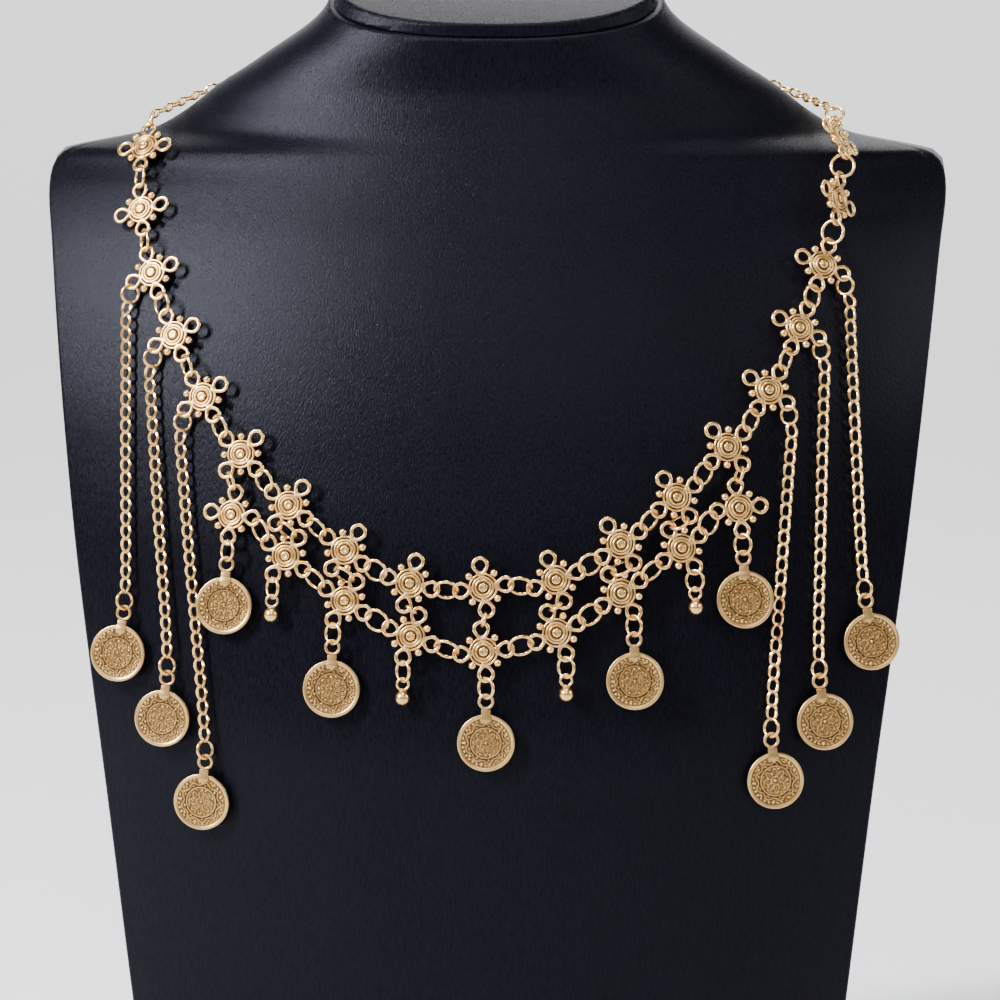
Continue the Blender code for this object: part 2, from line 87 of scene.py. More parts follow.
def selectVertices(item, chosen):
    for polygon in item.data.polygons:
        polygon.select = False
    for edge in item.data.edges:
        edge.select = False
    for vertex in item.data.vertices:
        vertex.select = chosen(vertex.co)


def closeSkin():
    bpy.ops.mesh.select_all(action="SELECT")
    bpy.ops.mesh.remove_doubles(threshold=0.00001)
    bpy.ops.mesh.normals_make_consistent(inside=False)


def turnedForm(name, rings, sides):  # from a disc, drawn out ring by ring and closed to a point
    radius, height = rings[0]
    bpy.ops.mesh.primitive_circle_add(vertices=sides, radius=radius, fill_type="NGON",
                                      location=(0, 0, height))
    item = settle(takeActive(name))

    def drawOut():
        bpy.ops.mesh.select_all(action="SELECT")
        before = rings[0]
        for ring in rings[1:]:
            bpy.ops.mesh.extrude_region_move()
            grow = ring[0] / before[0]
            bpy.ops.transform.resize(value=(grow, grow, 1), center_override=(0, 0, 0))
            bpy.ops.transform.translate(value=(0, 0, ring[1] - before[1]))
            before = ring
        bpy.ops.mesh.poke()
        closeSkin()

    inEdit(drawOut)
    return item


def wireRing(radius, wire, around=28, section=8):
    bpy.ops.mesh.primitive_torus_add(major_segments=around, minor_segments=section,
                                     major_radius=radius, minor_radius=wire / 2)
    return takeActive("ring")


recess = {  # how dark each spot is painted, from 0 to 1: patina and painted shade
    # painted shade: rosetteBack, granuleBack, petal, loopFoot, ballTop and linkEnd; a dark joint: ringSeam;
    # just darker: tongue and collar
    "ringSeam": 0.55, "rosetteBack": 0.3, "loopFoot": 0.3, "granuleBack": 0.75, "petal": 0.45,
    "tongue": 0.26, "ballTop": 0.5, "collar": 0.3, "linkEnd": 0.4,
}


def markRecess(item, depth=lambda point: 0.0):  # painted patina and shade, kept with the mesh, and bright metal where nothing is given
    layer = item.data.attributes.get("recess") or item.data.attributes.new("recess", "FLOAT", "POINT")
    for index, vertex in enumerate(item.data.vertices):
        layer.data[index].value = depth(vertex.co)


def ringAt(place, radius, wire):
    def seamRecess(point):  # a dark seam where the ring was closed
        onSeam = point.x > radius * 0.99 - wire and abs(point.y) < 0.0001
        return recess["ringSeam"] if onSeam else 0.0

    item = wireRing(radius, wire)
    markRecess(item, seamRecess)
    item.data.transform(place)
    return item


def markLocal(item):  # the piece's own flat coordinates, ten millimetres to one
    while item.data.uv_layers:
        item.data.uv_layers.remove(item.data.uv_layers[0])
    layer = item.data.uv_layers.new(name="local")
    for loop in item.data.loops:
        point = item.data.vertices[loop.vertex_index].co
        layer.data[loop.index].uv = (point.x * 100, point.y * 100)


def hand(piece, material, body, nodes, crease=58):
    bpy.ops.object.select_all(action="DESELECT")
    piece.select_set(True)
    bpy.context.view_layer.objects.active = piece
    bpy.ops.object.shade_smooth_by_angle(angle=math.radians(crease))
    piece.data.materials.clear()
    piece.data.materials.append(material)
    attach(piece, body)
    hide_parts(*nodes)


# Shader maths

class Shade:  # a socket that can be added, multiplied and so on
    def __init__(self, tree, socket=None):
        self.tree = tree
        self.socket = socket

    def node(self, kind, settings, sockets, output=0):
        made = self.tree.nodes.new(kind)
        for key, value in settings.items():
            if key == "stops":
                for position, colour in value:
                    stop = made.color_ramp.elements.new(position)
                    stop.color = colour
                made.color_ramp.elements.remove(made.color_ramp.elements[0])
                made.color_ramp.elements.remove(made.color_ramp.elements[-1])
            else:
                setattr(made, key, value)
        for key, value in sockets.items():
            if isinstance(value, Shade):
                self.tree.links.new(value.socket, made.inputs[key])
            else:
                made.inputs[key].default_value = value
        return Shade(self.tree, made.outputs[output])

    def sum(self, operation, first, second=0.0, limit=False):
        return self.node("ShaderNodeMath", {"operation": operation, "use_clamp": limit},
                         {0: first, 1: second})

    def __add__(self, other):
        return self.sum("ADD", self, other)

    def __sub__(self, other):
        return self.sum("SUBTRACT", self, other)

    def __rsub__(self, other):
        return self.sum("SUBTRACT", other, self)

    def __mul__(self, other):
        return self.sum("MULTIPLY", self, other)

    def __truediv__(self, other):
        return self.sum("DIVIDE", self, other)

    __radd__ = __add__
    __rmul__ = __mul__

    def clamp(self):
        return self.sum("ADD", self, 0.0, True)

    def band(self, middle, half):  # 1 on a line, falling to 0 on either side
        return (1 - self.sum("ABSOLUTE", self - middle) / half).clamp()

    def blend(self, low, high):  # two colours by this factor
        return self.node("ShaderNodeMix", {"data_type": "RGBA"}, {0: self, 6: low, 7: high}, 2)


def newMaterial(name):
    material = bpy.data.materials.new(name)
    material.use_nodes = True
    tree = material.node_tree
    return material, Shade(tree), tree.nodes["Principled BSDF"]


def plug(shade, shader, **sockets):
    for key, value in sockets.items():
        socket = shader.inputs[key.replace("_", " ")]
        if isinstance(value, Shade):
            shade.tree.links.new(value.socket, socket)
        else:
            socket.default_value = value


def tinted(colour, strength=1.0):  # a colour made weaker or stronger, with full opacity
    red, green, blue = colour
    return red * strength, green * strength, blue * strength, 1


def noiseOn(shade, place, scale, detail, **more):
    sockets = {"Vector": place, "Scale": scale, "Detail": detail, **more}
    return shade.node("ShaderNodeTexNoise", {}, sockets)


def bumpOn(shade, height, strength, depth):
    sockets = {"Strength": strength, "Distance": depth, "Height": height}
    return shade.node("ShaderNodeBump", {}, sockets, "Normal")


goldFinish = {
    "bright": (0.90, 0.58, 0.23),
    "warm": (0.76, 0.45, 0.15),
    "cloudScale": 160.0,    # where the two tones take turns
    # the dark colour of patina and of painted shade
    "patinaAndShade": (0.085, 0.040, 0.013),
    "roughness": 0.25, "patinaRoughness": 0.55,
    "crevice": 0.0011,      # how near metal has to be to hold patina and painted shade
    "creviceGain": 1.3, "creviceStart": 0.2,
    "speckle": 900, "speckleDarkens": 0.35,
    "bumpStrength": 0.25, "bumpDepth": 0.00006,
}


def goldBase(shade, extra=None, dullness=1.0):  # how dark each spot is, its speckle and its colour
    place = shade.node("ShaderNodeTexCoord", {}, {}, "Object")
    noise = noiseOn(shade, place, goldFinish["speckle"], 3.0)
    cloud = noiseOn(shade, place, goldFinish["cloudScale"], 2.0)
    drawn = shade.node("ShaderNodeAttribute", {"attribute_name": "recess"}, {}, "Fac")
    # ambient occlusion paints shade, together with patina, into crevices: the more closed in, the darker
    openness = shade.node("ShaderNodeAmbientOcclusion", {"samples": 6, "only_local": True},
                          {"Distance": goldFinish["crevice"]}, "AO")
    closed = (1 - openness) * goldFinish["creviceGain"] - goldFinish["creviceStart"]
    dark = shade.sum("MAXIMUM", closed, drawn)
    if extra is not None:
        dark = shade.sum("MAXIMUM", dark, extra)
    dark = (dark + (noise - 0.5) * goldFinish["speckleDarkens"]).clamp()
    metal = cloud.blend(tinted(goldFinish["warm"], dullness), tinted(goldFinish["bright"], dullness))
    return dark, noise, dark.blend(metal, tinted(goldFinish["patinaAndShade"]))


def finishGold(shade, shader, dark, colour, bump, finish):  # patina and painted shade are rougher than metal
    spread = finish["patinaRoughness"] - finish["roughness"]
    plug(shade, shader, Base_Color=colour, Metallic=1.0, Roughness=dark * spread + finish["roughness"],
         Normal=bump)


def makeGold():
    material, shade, shader = newMaterial("antiqueGold")
    dark, noise, colour = goldBase(shade)
    bump = bumpOn(shade, noise, goldFinish["bumpStrength"], goldFinish["bumpDepth"])
    finishGold(shade, shader, dark, colour, bump, goldFinish)
    return material


coinRelief = {  # radii in millimetres, on a coin of 16
    "rimLine": 6.95, "beadRing": 6.3, "beads": 32,
    "vine": 5.3, "vineSwing": 0.45, "vineWaves": 9,
    "line": 4.2, "lineGroove": 4.62,
    "flower": 2.7, "petalSwing": 0.75, "petals": 8,
    "inner": 1.15, "innerSwing": 0.25, "seed": 3.55, "veins": 2.3,
    "field": 7.05,      # the pattern, its patina and its painted shade end here
    "strokes": {  # half width in millimetres and strength
        "beads": (0.5, 1.5), "line": (0.32, 1.6), "vine": (0.34, 1.5), "leaves": (0.5, 1.5),
        "flower": (0.4, 1.6), "inner": (0.34, 1.5), "seeds": (0.42, 1.4), "veins": (0.75, 1.0),
        "heart": (0.75, 1.4), "rimLine": (0.28, 1.0), "lineGroove": (0.26, 1.0)},
    "breaks": {  # gain and offset of the wave that breaks a line into spots
        "beads": (1.2, 0.4), "leaves": (1.2, -0.1), "seeds": (1.6, -0.7), "veins": (1.2, -0.5)},
    "grain": 1.45, "grainSize": 0.55, "grainHeight": 0.9, "speckle": 0.12, "depth": 0.00026,
    "clears": 1.25, "fieldPatinaAndShade": 0.85, "groovePatinaAndShade": 0.8, "dullness": 0.68,
    "roughness": 0.33, "patinaRoughness": 0.55,
}


def makeStruckGold():
    material, shade, shader = newMaterial("struckGold")
    flat = shade.node("ShaderNodeUVMap", {"uv_map": "local"}, {})
    across = shade.node("ShaderNodeSeparateXYZ", {}, {0: flat}, "X") * 10
    up = shade.node("ShaderNodeSeparateXYZ", {}, {0: flat}, "Y") * 10
    radius = shade.sum("SQRT", across * across + up * up)
    turn = shade.sum("ARCTAN2", up, across)

    def wave(count, phase=0.0):
        return shade.sum("COSINE", turn * count + phase)

    def stroke(name, middle, swing=0.0):  # a line round the coin, moved in and out by its swing
        half, strength = coinRelief["strokes"][name]
        return (radius - swing).band(middle, half) * strength

    def spots(name, count, phase=0.0):
        gain, offset = coinRelief["breaks"][name]
        return (wave(count, phase) * gain + offset).clamp()

    waves, petals = coinRelief["vineWaves"], coinRelief["petals"]
    sway = wave(waves) * coinRelief["vineSwing"]
    beads = stroke("beads", coinRelief["beadRing"]) * spots("beads", coinRelief["beads"])
    line = stroke("line", coinRelief["line"])
    vine = stroke("vine", coinRelief["vine"], sway)
    leaves = stroke("leaves", coinRelief["vine"], sway * -1.0) * spots("leaves", waves * 2)
    flower = stroke("flower", coinRelief["flower"], wave(petals) * coinRelief["petalSwing"])
    inner = stroke("inner", coinRelief["inner"], wave(petals) * -coinRelief["innerSwing"])
    seeds = stroke("seeds", coinRelief["seed"]) * spots("seeds", petals, math.pi)
    veins = stroke("veins", coinRelief["veins"]) * spots("veins", petals * 2)
    heart = stroke("heart", 0.0)
    cells = shade.node("ShaderNodeTexVoronoi", {"feature": "F1"},
                       {"Vector": flat, "Scale": 10 * coinRelief["grain"]}, "Distance")
    grain = (coinRelief["grainSize"] - cells).clamp() * coinRelief["grainHeight"]
    shape = (beads + line + vine + leaves + flower + inner + seeds + veins + heart).clamp()
    relief = shade.sum("MAXIMUM", shape, grain)
    field = ((coinRelief["field"] - radius) * 4).clamp()
    grooves = stroke("rimLine", coinRelief["rimLine"]) + stroke("lineGroove", coinRelief["lineGroove"])
    # patina and painted shade in the low field between the strokes and in two dark grooves
    hollow = (1 - relief * coinRelief["clears"]).clamp() * coinRelief["fieldPatinaAndShade"]
    low = (hollow + grooves * coinRelief["groovePatinaAndShade"]).clamp() * field
    dark, noise, colour = goldBase(shade, low, coinRelief["dullness"])
    bump = bumpOn(shade, relief * field + noise * coinRelief["speckle"], 1.0, coinRelief["depth"])
    finishGold(shade, shader, dark, colour, bump, coinRelief)
    return material


leatherFinish = {
    "dark": (0.0008, 0.0008, 0.0015),
    "light": (0.0036, 0.0035, 0.0062),
    "fibre": (2600, 2600, 420),     # the grain runs up and down
    "fibreContrast": 1.9, "broadScale": 30.0, "broadContrast": 0.3,
    "roughness": 0.28, "roughnessSpread": 0.34,
    "gloss": 0.062, "glossTint": (0.86, 0.87, 1.0),
    "bumpStrength": 0.55, "bumpDepth": 0.00026,
}


def makeLeather():
    material, shade, shader = newMaterial("blackLeatherette")
    place = shade.node("ShaderNodeTexCoord", {}, {}, "Object")
    stretched = shade.node("ShaderNodeMapping", {}, {"Vector": place, "Scale": leatherFinish["fibre"]})
    fibre = noiseOn(shade, stretched, 1.0, 3.0, Roughness=0.6)
    broad = noiseOn(shade, place, leatherFinish["broadScale"], 2.0)
    mottle = (broad - 0.5) * leatherFinish["broadContrast"]
    tone = ((fibre - 0.5) * leatherFinish["fibreContrast"] + 0.5 + mottle).clamp()
    colour = tone.blend(tinted(leatherFinish["dark"]), tinted(leatherFinish["light"]))
    roughness = (fibre - 0.5) * leatherFinish["roughnessSpread"] + leatherFinish["roughness"]
    bump = bumpOn(shade, fibre, leatherFinish["bumpStrength"], leatherFinish["bumpDepth"])
    plug(shade, shader, Base_Color=colour, Roughness=roughness, Normal=bump,
         Specular_IOR_Level=leatherFinish["gloss"], Specular_Tint=tinted(leatherFinish["glossTint"]))
    return material


gold = makeGold()
struckGold = makeStruckGold()
leather = makeLeather()
print("materials made")


# The bust: a grid wrapped round its level sections

bust = {
    "sections": [  # height, half width, front, side, back, bow of the front, squareness of the back
        (0.0000, 0.0950, -0.0520, -0.0240, 0.050, 1.00, 8.0),
        (0.0700, 0.1030, -0.0550, -0.0270, 0.050, 1.00, 8.0),
        (0.1300, 0.1100, -0.0550, -0.0260, 0.050, 1.00, 8.0),
        (0.1830, 0.1170, -0.0500, -0.0200, 0.050, 1.00, 8.0),
        (0.2200, 0.1215, -0.0410, -0.0110, 0.050, 1.00, 8.0),
        (0.2500, 0.1250, -0.0310, 0.0000, 0.050, 1.00, 8.0),
        (0.2750, 0.1280, -0.0200, 0.0130, 0.051, 1.00, 8.0),
        (0.2900, 0.1300, -0.0125, 0.0240, 0.052, 1.00, 7.0),
        (0.2980, 0.1290, -0.0090, 0.0300, 0.052, 1.00, 6.0),
        (0.3050, 0.1010, -0.0060, 0.0300, 0.053, 1.25, 4.0),
        (0.3110, 0.0900, -0.0040, 0.0300, 0.054, 1.45, 3.5),
        (0.3180, 0.0810, -0.0020, 0.0300, 0.054, 1.60, 3.0),
        (0.3260, 0.0687, -0.0010, 0.0290, 0.055, 1.80, 2.4),
        (0.3415, 0.0490, 0.0000, 0.0280, 0.056, 2.00, 2.0),
        (0.3520, 0.0455, 0.0000, 0.0280, 0.056, 2.00, 2.0),
        (0.3620, 0.0450, -0.0005, 0.0280, 0.056, 2.00, 2.0),
    ],
    "frontBow": 2.2,
    "frontColumns": 96, "backColumns": 72, "levelStep": 0.0026, "slopeStep": 0.0005, "probe": 0.0004,
    "edgeWidth": 0.004, "edgeDepth": 0.006, "shoulderBow": 1.2,     # the edges softened, up to the shoulders
    "neckHeight": 0.3325, "neckSlope": 0.41, "neckBevel": 0.0007, "baseBevel": 0.0015,
    "groove": 0.0005, "capThickness": 0.0032, "capInset": 0.0009, "capLevel": 0.352,
    "capFootBevel": 0.0006, "capTopBevel": 0.0010, "crease": 50,
}
levelCache = {}


def levelMeasures(height):
    rows = bust["sections"]
    height = min(max(height, rows[0][0]), rows[-1][0])
    key = round(height, 8)
    if key in levelCache:
        return levelCache[key]
    index = 0
    while index < len(rows) - 2 and height > rows[index + 1][0]:
        index += 1
    step = rows[index + 1][0] - rows[index][0]
    t = (height - rows[index][0]) / step
    measures = []
    for column in range(1, 7):
        slopes = [(after[column] - row[column]) / (after[0] - row[0]) for row, after in zip(rows, rows[1:])]
        ends = []
        for place in (index, index + 1):
            if place in (0, len(slopes)):
                ends.append(slopes[min(place, len(slopes) - 1)])
                continue
            product = slopes[place - 1] * slopes[place]
            ends.append(2 * product / (slopes[place - 1] + slopes[place]) if product > 0 else 0.0)
        low, high = rows[index][column], rows[index + 1][column]
        measures.append((2 * t**3 - 3 * t**2 + 1) * low + (t**3 - 2 * t**2 + t) * step * ends[0]
                        + (-2 * t**3 + 3 * t**2) * high + (t**3 - t**2) * step * ends[1])
    levelCache[key] = measures
    return measures


def frontPoint(across, height):
    halfWidth, front, side, back, bow, corner = levelMeasures(height)
    reach = min(abs(across) / halfWidth, 1.0)
    return Vector((across, side - (side - front) * (1 - reach ** bust["frontBow"]) ** (1 / bow), height))


def backPoint(angle, height):
    halfWidth, front, side, back, bow, corner = levelMeasures(height)
    cosine = math.cos(math.radians(angle))
    sine = max(math.sin(math.radians(angle)), 0.0)
    across = math.copysign(abs(cosine) ** (2 / corner), cosine) * halfWidth
    return Vector((across, side + (back - side) * sine ** (2 / corner), height))


def seatOn(pointAt, sideways, step, height, lift):  # a spot that far off the bust, and the way out of it
    along = pointAt(sideways + step, height) - pointAt(sideways - step, height)
    up = pointAt(sideways, height + bust["probe"]) - pointAt(sideways, height - bust["probe"])
    normal = along.cross(up).normalized()
    return pointAt(sideways, height) + normal * lift, normal


def frontSeat(across, height, lift):
    return seatOn(frontPoint, across, bust["probe"], height, lift)


def backSeat(angle, height, lift):
    return seatOn(backPoint, angle, 1, height, lift)


def wrappedGrid(name):
    heights = [0.0]
    top = bust["sections"][-1][0]
    while heights[-1] < top:
        height = heights[-1]
        wider = levelMeasures(height + bust["slopeStep"])[0] - levelMeasures(height)[0]
        heights.append(min(height + bust["levelStep"] / math.hypot(1, wider / bust["slopeStep"]), top))
    front, levels = bust["frontColumns"], len(heights) - 1
    columns = front + bust["backColumns"]
    bpy.ops.mesh.primitive_grid_add(x_subdivisions=columns, y_subdivisions=levels, size=1)
    item = takeActive(name)
    for vertex in item.data.vertices:
        column = round((vertex.co.x + 0.5) * columns)
        height = heights[round((vertex.co.y + 0.5) * levels)]
        if column < front:
            across = math.sin(math.pi * (column / front - 0.5)) * levelMeasures(height)[0]
            vertex.co = frontPoint(across, height)
        else:
            vertex.co = backPoint(180 * (column - front) / bust["backColumns"], height)
    inEdit(closeSkin)
    return item


def cutSlant(height, keepBelow):
    way = 1 if keepBelow else -1
    bpy.ops.mesh.select_all(action="SELECT")
    bpy.ops.mesh.bisect(plane_co=(0, 0, height), plane_no=(0, -bust["neckSlope"] * way, way), use_fill=True,
                        clear_outer=True)


def makeBust():
    item = wrappedGrid("bustBody")

    def besideEdge(point):
        halfWidth, front, side, back, bow, corner = levelMeasures(point.z)
        nearEdge = abs(point.x) > halfWidth - bust["edgeWidth"] and abs(point.y - side) < bust["edgeDepth"]
        return bow < bust["shoulderBow"] and nearEdge and point.z > 0.001

    selectVertices(item, besideEdge)

    def shape():
        bpy.ops.mesh.vertices_smooth(factor=0.5, repeat=5)
        cutSlant(bust["neckHeight"], True)
        bpy.ops.mesh.bevel(offset=bust["neckBevel"], segments=3, affect="EDGES")
        bpy.ops.mesh.select_all(action="DESELECT")
        bpy.ops.mesh.select_non_manifold()
        bpy.ops.mesh.edge_face_add()
        bpy.ops.mesh.bevel(offset=bust["baseBevel"], segments=2, affect="EDGES")
        closeSkin()

    inEdit(shape)
    hand(item, leather, "root", ["display_bust"], bust["crease"])


def makeNeckCap():
    item = wrappedGrid("neckCap")
    slant = math.hypot(1, bust["neckSlope"])
    middle = Vector((0, levelMeasures(bust["neckHeight"])[2], 0))
    shrink = 1 - bust["capInset"] / levelMeasures(bust["capLevel"])[0]

    def shape():
        cutSlant(bust["neckHeight"] + bust["groove"] * slant, False)
        bpy.ops.mesh.bevel(offset=bust["capFootBevel"], segments=2, affect="EDGES")
        cutSlant(bust["neckHeight"] + (bust["groove"] + bust["capThickness"]) * slant, True)
        bpy.ops.mesh.bevel(offset=bust["capTopBevel"], segments=4, affect="EDGES")
        bpy.ops.mesh.select_all(action="SELECT")
        bpy.ops.transform.resize(value=(shrink, shrink, 1), center_override=middle)
        closeSkin()

    inEdit(shape)
    hand(item, leather, "root", ["neck_cap"], bust["crease"])


makeBust()
makeNeckCap()
print("bust made")


# Rosettes and the rings between them, each on its place along two routes over the bust

chain = {
    "upperRoute": [  # across, height
        (-0.0975, 0.3120), (-0.0990, 0.3010), (-0.0994, 0.2860), (-0.0960, 0.2690), (-0.0890, 0.2517),
        (-0.0805, 0.2352), (-0.0687, 0.2190), (-0.0540, 0.2045), (-0.0375, 0.1925), (-0.0195, 0.1843),
        (0.0000, 0.1835), (0.0190, 0.1853), (0.0367, 0.1945), (0.0524, 0.2070), (0.0665, 0.2205),
        (0.0787, 0.2371), (0.0871, 0.2542), (0.0934, 0.2710), (0.0962, 0.2865), (0.0968, 0.3010),
        (0.0950, 0.3120)],
    "lowerRoute": [
        (-0.0850, 0.2115), (-0.0710, 0.2020), (-0.0545, 0.1908), (-0.0375, 0.1790), (-0.0192, 0.1698),
        (0.0002, 0.1660), (0.0192, 0.1708), (0.0368, 0.1814), (0.0530, 0.1930), (0.0685, 0.2032),
        (0.0820, 0.2122)],
    "upperCount": 19, "lowerCount": 9, "upperLink": 0.0082, "lowerLink": 0.0086,
    "upperTurns": {5: 5, 6: 4, 7: -4, 9: 7, 10: 2, 12: -7, 13: -7}, "lowerTurns": {0: 27, 4: 5, 8: -27},
    "lift": 0.0032, "sideLift": 0.0062, "sideRoll": 36, "firstTied": 5, "firstRolled": 17,
    "ringTilt": 43, "ringSway": 9, "swayStep": 2.4,     # no two rings lie quite alike
    "sideRingTilt": -60, "tieTilt": 58, "shortTie": 0.0070, "shortTieTilt": 80,
    "loopReach": 0.0062, "loopRadius": 0.00198, "loopWire": 0.00118, "ringWire": 0.00096,
    "dropRing": 0.0025, "free": 0.00109,    # from a loop's centre to the wire that a drop hangs by
    "slack": 0.00091,                       # and to the wire of a ring between two rosettes
    "clear": 0.00086,                       # between two wires' middles where a ring hangs free
}
rosetteShape = {
    "rings": [  # radius and height, from the back round to the centre of the button, in millimetres
        (3.55, -1.25), (3.85, -1.15), (4.02, -0.75), (4.08, -0.10), (4.05, 0.25), (3.92, 0.46), (3.72, 0.52),
        (3.52, 0.44), (3.42, 0.20), (3.31, 0.12), (3.20, 0.22), (3.10, 0.56), (2.96, 0.72), (2.72, 0.74),
        (2.54, 0.64), (2.44, 0.48), (2.34, 0.62), (2.18, 0.90), (1.98, 0.93), (1.84, 0.80), (1.75, 0.64),
        (1.66, 0.76), (1.56, 0.72), (1.48, 0.40), (1.40, 0.32), (1.32, 0.44), (1.27, 0.90), (1.15, 1.12),
        (0.92, 1.24), (0.62, 1.26), (0.44, 1.17), (0.22, 1.15)],
    "recess": [  # patina and painted shade in the grooves, by radius, in millimetres
        (0.0, 0.3), (0.42, 0.42), (0.6, 0.05), (1.18, 0.0), (1.28, 0.95), (1.4, 1.0), (1.5, 0.95),
        (1.6, 0.3), (1.75, 0.55), (1.86, 0.2), (2.1, 0.0), (2.3, 0.2), (2.44, 0.6), (2.58, 0.2),
        (2.8, 0.0), (3.05, 0.3), (3.16, 0.95), (3.31, 1.0), (3.46, 0.85), (3.6, 0.1), (4.1, 0.0)],
    "sides": 40,
    "granule": 0.00112, "granuleReach": 0.005, "petalReach": 0.0041, "petal": (0.0009, 0.0007, 0.0005),
    "pinch": 0.34, "legs": 0.42,    # how a loop narrows and runs in under the rim
}


def readTable(table, value):
    for (start, low), (end, high) in zip(table, table[1:]):
        if value <= end:
            return low + (high - low) * (value - start) / (end - start)
    return table[-1][1]


def makeRosetteMaster():
    rings = [(radius / 1000, height / 1000) for radius, height in rosetteShape["rings"]]
    disc = turnedForm("rosette", rings, rosetteShape["sides"])

    def discRecess(point):
        # painted shade on the back; patina and painted shade in the grooves on the front
        if point.z < -0.0002:
            return recess["rosetteBack"]
        return readTable(rosetteShape["recess"], math.hypot(point.x, point.y) * 1000)

    markRecess(disc, discRecess)
    parts = [disc]
    loop = wireRing(chain["loopRadius"], chain["loopWire"], 28, 10)
    for vertex in loop.data.vertices:
        inward = min(max(-vertex.co.x / chain["loopRadius"], 0.0), 1.2) ** 2
        vertex.co.y *= 1 - rosetteShape["pinch"] * inward
        vertex.co.x *= 1 + rosetteShape["legs"] * inward
    # painted shade where the loop runs in under the rim
    markRecess(loop, lambda point: recess["loopFoot"] if point.x < -0.0016 else 0.0)
    bpy.ops.mesh.primitive_uv_sphere_add(segments=12, ring_count=8, radius=rosetteShape["granule"])
    granule = takeActive("granule")
    # painted shade on the granule's back
    markRecess(granule, lambda point: recess["granuleBack"] if point.z < -0.0003 else 0.0)
    bpy.ops.mesh.primitive_uv_sphere_add(segments=12, ring_count=8, radius=1)
    petal = takeActive("petal")
    petal.scale = rosetteShape["petal"]
    settle(petal)
    # painted shade on the petal under the granule
    markRecess(petal, lambda point: recess["petal"])
    spokes = [  # angle, reach and how far each is sunk
        (loop, 0, chain["loopReach"], 0.0001), (granule, 45, rosetteShape["granuleReach"], 0.0001),
        (petal, 45, rosetteShape["petalReach"], 0.0002)]
    for quarter in range(4):
        for item, angle, reach, sunk in spokes:
            turn = Matrix.Rotation(math.radians(90 * quarter + angle), 4, "Z")
            parts.append(copyTo(item, turn @ Matrix.Translation((reach, 0, -sunk))))
    discard(loop, granule, petal)
    return joinUp(parts, "rosette")


def routePoint(route, position):
    index = min(max(int(position), 1), len(route) - 3)
    t = position - index
    before, first, second, after = route[index - 1:index + 3]
    return [0.5 * (2 * b + (c - a) * t + (2 * a - 5 * b + 4 * c - d) * t**2 + (3 * b - a - 3 * c + d) * t**3)
            for a, b, c, d in zip(before, first, second, after)]


def frameOf(x, y, z, place):
    made = Matrix((x, y, z)).transposed().to_4x4()
    made.translation = place
    return made


def station(route, position, lift, turn, roll):  # x along the row, y inwards and z out of the bust
    place, normal = frontSeat(*routePoint(route, position), lift)
    before = frontSeat(*routePoint(route, position - 0.1), lift)[0]
    after = frontSeat(*routePoint(route, position + 0.1), lift)[0]
    along = after - before
    alongRow = (along - normal * along.dot(normal)).normalized()
    alongRow = Matrix.Rotation(math.radians(turn), 3, normal) @ alongRow
    outward = Matrix.Rotation(math.radians(roll), 3, alongRow) @ normal
    return frameOf(alongRow, outward.cross(alongRow), outward, place)


def loopCentre(place, x, y):
    return place @ Vector((x * chain["loopReach"], y * chain["loopReach"], 0))


def walkRoute(route, count, link, settings):  # from the middle outwards, one link apart
    middle = count // 2
    start = (len(route) - 1) / 2
    places = {middle: station(route, start, *settings(middle))}
    for way in (-1, 1):
        position = start
        for index in range(middle + way, middle + way * (middle + 1), way):
            held = loopCentre(places[index - way], way, 0)
            near, far = position, position + 2 * way
            for _ in range(30):
                position = (near + far) / 2
                place = station(route, position, *settings(index))
                if (loopCentre(place, -way, 0) - held).length < link:
                    near = position
                else:
                    far = position
            places[index] = place
    return [places[index] for index in range(count)]


def upperSettings(index):
    if index >= chain["firstRolled"]:
        return chain["sideLift"], 0, chain["sideRoll"]
    return chain["lift"], chain["upperTurns"].get(index, 0), 0


def lowerSettings(index):
    return chain["lift"], chain["lowerTurns"].get(index, 0), 0


def flattened(line, normal):
    return (line - normal * line.dot(normal)).normalized()


def ringFrame(centre, toward, normal, tilt):  # x runs from one loop to the next
    along = toward.normalized()
    outward = Matrix.Rotation(math.radians(tilt), 3, along) @ flattened(normal, along)
    return frameOf(along, outward.cross(along), outward, centre)


def linkRing(own, other, tilt):  # own and other are a rosette's place with the loop's side of it
    (ownPlace, *ownLoop), (otherPlace, *otherLoop) = own, other
    ownCentre, otherCentre = loopCentre(ownPlace, *ownLoop), loopCentre(otherPlace, *otherLoop)
    ownOut, otherOut = ownPlace.col[2].to_3d(), otherPlace.col[2].to_3d()
    line = otherCentre - ownCentre
    start = ownCentre + flattened(line, ownOut) * chain["slack"]
    end = otherCentre - flattened(line, otherOut) * chain["slack"]
    place = ringFrame((start + end) / 2, end - start, ownOut + otherOut, tilt)
    return ringAt(place, (end - start).length / 2, chain["ringWire"])


def dropLine(own, length, lift):
    target, normal = frontSeat(own.x, own.z - length, lift)
    line = (target - own).normalized()
    return line, flattened(normal, line)


hung = {"coinBelowLoop": 0.0114, "coinLift": 0.0021, "coinTurn": 1.2, "coinRadius": 0.008, "held": 0.00175}


def turnedOut(faced, line):
    return flattened(faced + Vector((0, -hung["coinTurn"], 0)), line)


def coinSeat(own, length):  # a coin's line, and the way it faces with its edge clear of the bust
    line, faced = dropLine(own, length, hung["coinLift"])
    edge = hung["coinRadius"] * math.sin(faced.angle(turnedOut(faced, line)))
    line, faced = dropLine(own, length, hung["coinLift"] + edge)
    return line, turnedOut(faced, line)


